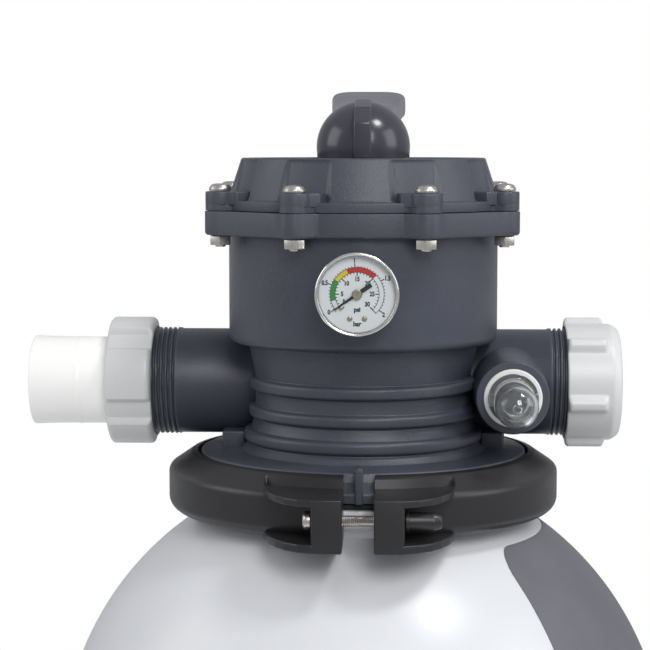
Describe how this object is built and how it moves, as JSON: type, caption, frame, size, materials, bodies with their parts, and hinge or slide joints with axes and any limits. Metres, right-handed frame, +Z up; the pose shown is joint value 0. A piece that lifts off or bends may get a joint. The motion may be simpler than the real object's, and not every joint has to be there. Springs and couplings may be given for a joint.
{
  "type": "sand filter tank",
  "caption": "Upright pool sand filter: round plastic tank on a foot, with a multiport valve, pressure gauge, sight glass and union tails held on top by a split band clamp.",
  "frame": {"origin": "centre of the foot's flat underside, on the tank's axis", "axes": "+Z up along the tank's axis, -Y to the front (gauge side), +X to the waste port"},
  "size_m": [0.37, 0.393, 0.675],
  "materials": {
    "tank_shell": "soft gloss light grey blow-moulded shell",
    "foot_plastic": "textured near-black moulding",
    "valve_plastic": "fine spark-eroded slate grey moulding",
    "handle_plastic": "smooth dark grey moulding with soft gloss",
    "clamp_plastic": "satin black glass-filled plastic",
    "fitting_grey": "light grey satin moulding",
    "pipe_white": "white pipe plastic",
    "stainless": "plain stainless fasteners",
    "gauge_metal": "bright plated case",
    "gauge_print": "white printed dial",
    "gauge_brass": "pointer with brass hub",
    "clear_plastic": "clear moulded plastic",
    "seal_rubber": "black seal rubber",
    "seal_white": "white washer plastic"
  },
  "bodies": {
    "root": {"tank_vessel": "tank_shell", "tank_base": "foot_plastic", "drain_fitting": "fitting_grey", "drain_strainer": "fitting_grey", "centre_pipe": "pipe_white", "lateral_hub": "fitting_grey", "lateral_1": "fitting_grey", "lateral_2": "fitting_grey", "lateral_3": "fitting_grey", "lateral_4": "fitting_grey", "lateral_5": "fitting_grey", "lateral_6": "fitting_grey", "tank_o_ring": "seal_rubber", "valve_body": "valve_plastic", "valve_lid": "valve_plastic", "lid_o_ring": "seal_rubber", "lid_screw_1": "stainless", "lid_screw_2": "stainless", "lid_screw_3": "stainless", "lid_screw_4": "stainless", "lid_screw_5": "stainless", "lid_screw_6": "stainless", "lid_screw_7": "stainless", "lid_screw_8": "stainless", "lid_nut_1": "stainless", "lid_nut_2": "stainless", "lid_nut_3": "stainless", "lid_nut_4": "stainless", "lid_nut_5": "stainless", "lid_nut_6": "stainless", "lid_nut_7": "stainless", "lid_nut_8": "stainless", "spider_gasket": "seal_rubber", "gauge_case": "gauge_metal", "gauge_dial": "gauge_print", "gauge_lens": "clear_plastic", "sight_glass": "clear_plastic", "sight_glass_gasket": "seal_white", "clamp_half_left": "clamp_plastic", "clamp_half_right": "clamp_plastic", "clamp_bolt_front": "stainless", "clamp_bolt_rear": "stainless", "clamp_cap_nut_front": "clamp_plastic", "clamp_cap_nut_rear": "clamp_plastic"},
    "turntable": {"thrust_washer": "seal_white"},
    "rotor": {"rotor": "valve_plastic", "rotor_spring": "stainless"},
    "handle": {"handle": "handle_plastic", "handle_pin": "stainless"},
    "pointer": {"gauge_pointer": "gauge_brass"},
    "waste_seal": {"waste_cap_gasket": "seal_rubber"},
    "waste_cap": {"waste_cap": "fitting_grey"},
    "return_tail": {"return_tail": "pipe_white"},
    "return_nut": {"return_nut": "fitting_grey"},
    "pump_tail": {"pump_tail": "pipe_white"},
    "pump_nut": {"pump_nut": "fitting_grey"},
    "drain_seal": {"drain_cap_gasket": "seal_rubber"},
    "drain_cap": {"drain_cap": "fitting_grey"}
  },
  "joints": [
    {"name": "selector_turn", "type": "hinge", "parent": "root", "child": "turntable", "pos_m": [0, 0, 0.63], "axis": [0, 0, 1], "continuous": true},
    {"name": "handle_press", "type": "hinge", "parent": "rotor", "child": "handle", "pos_m": [0, 0, 0.639], "axis": [-1, 0, 0], "range_deg": [0, 12], "stiffness_Nm_per_rad": 6, "springref_deg": -11.46},
    {"name": "rotor_lift", "type": "slide", "parent": "turntable", "child": "rotor", "axis": [0, 0, 1], "range_m": [0, 0.0055], "deforming": ["rotor_spring"]},
    {"name": "pointer_turn", "type": "hinge", "parent": "root", "child": "pointer", "pos_m": [-0.0014, -0.092, 0.563], "axis": [0, 1, 0], "range_deg": [0, 259], "stiffness_Nm_per_rad": 0.002, "springref_deg": -11.46},
    {"name": "waste_cap_turn", "type": "hinge", "parent": "waste_seal", "child": "waste_cap", "pos_m": [0.13, 0.03, 0.5025], "axis": [1, 0, 0], "range_deg": [0, 1080]},
    {"name": "waste_cap_travel", "type": "slide", "parent": "root", "child": "waste_seal", "axis": [1, 0, 0], "range_m": [0, 0.00867]},
    {"name": "return_nut_turn", "type": "hinge", "parent": "return_tail", "child": "return_nut", "pos_m": [-0.133, 0.03, 0.5025], "axis": [-1, 0, 0], "range_deg": [0, 1080]},
    {"name": "return_tail_travel", "type": "slide", "parent": "root", "child": "return_tail", "axis": [-1, 0, 0], "range_m": [0, 0.00867]},
    {"name": "pump_nut_turn", "type": "hinge", "parent": "pump_tail", "child": "pump_nut", "pos_m": [0, 0.133, 0.5025], "axis": [0, 1, 0], "range_deg": [0, 1080]},
    {"name": "pump_tail_travel", "type": "slide", "parent": "root", "child": "pump_tail", "axis": [0, 1, 0], "range_m": [0, 0.00867]},
    {"name": "drain_cap_turn", "type": "hinge", "parent": "drain_seal", "child": "drain_cap", "pos_m": [0, -0.188, 0.135], "axis": [0, -1, 0], "range_deg": [0, 1440]},
    {"name": "drain_cap_travel", "type": "slide", "parent": "root", "child": "drain_seal", "axis": [0, -1, 0], "range_m": [0, 0.01206]}
  ],
  "couplings": [
    {"joint": "handle_press", "follows": "rotor_lift", "rad_per_m": 38.07},
    {"joint": "waste_cap_turn", "follows": "waste_cap_travel", "rad_per_m": 2173.9},
    {"joint": "return_nut_turn", "follows": "return_tail_travel", "rad_per_m": 2173.9},
    {"joint": "pump_nut_turn", "follows": "pump_tail_travel", "rad_per_m": 2173.9},
    {"joint": "drain_cap_turn", "follows": "drain_cap_travel", "rad_per_m": 2083.3}
  ]
}
